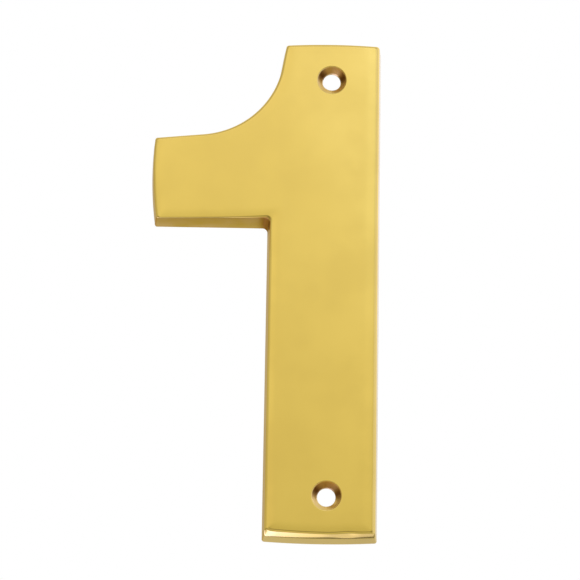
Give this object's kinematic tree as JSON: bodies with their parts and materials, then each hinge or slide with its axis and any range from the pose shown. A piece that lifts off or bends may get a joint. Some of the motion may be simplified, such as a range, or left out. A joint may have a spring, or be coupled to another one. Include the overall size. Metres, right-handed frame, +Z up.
{
  "type": "door number",
  "caption": "Polished cast brass numeral for a door, hollow behind, with a scooped flag and countersunk screw holes above and below.",
  "frame": {"origin": "on the door's surface, at the back of the rim, midway between the two screw holes", "axes": "+Z up the numeral, +X to the right as it is read, +Y into the door, so the face looks along -Y"},
  "size_m": [0.0461, 0.0065, 0.1021],
  "materials": {
    "polished_brass": "polished on the face and sides, as cast behind"
  },
  "bodies": {
    "root": {"door_number": "polished_brass"}
  },
  "joints": []
}
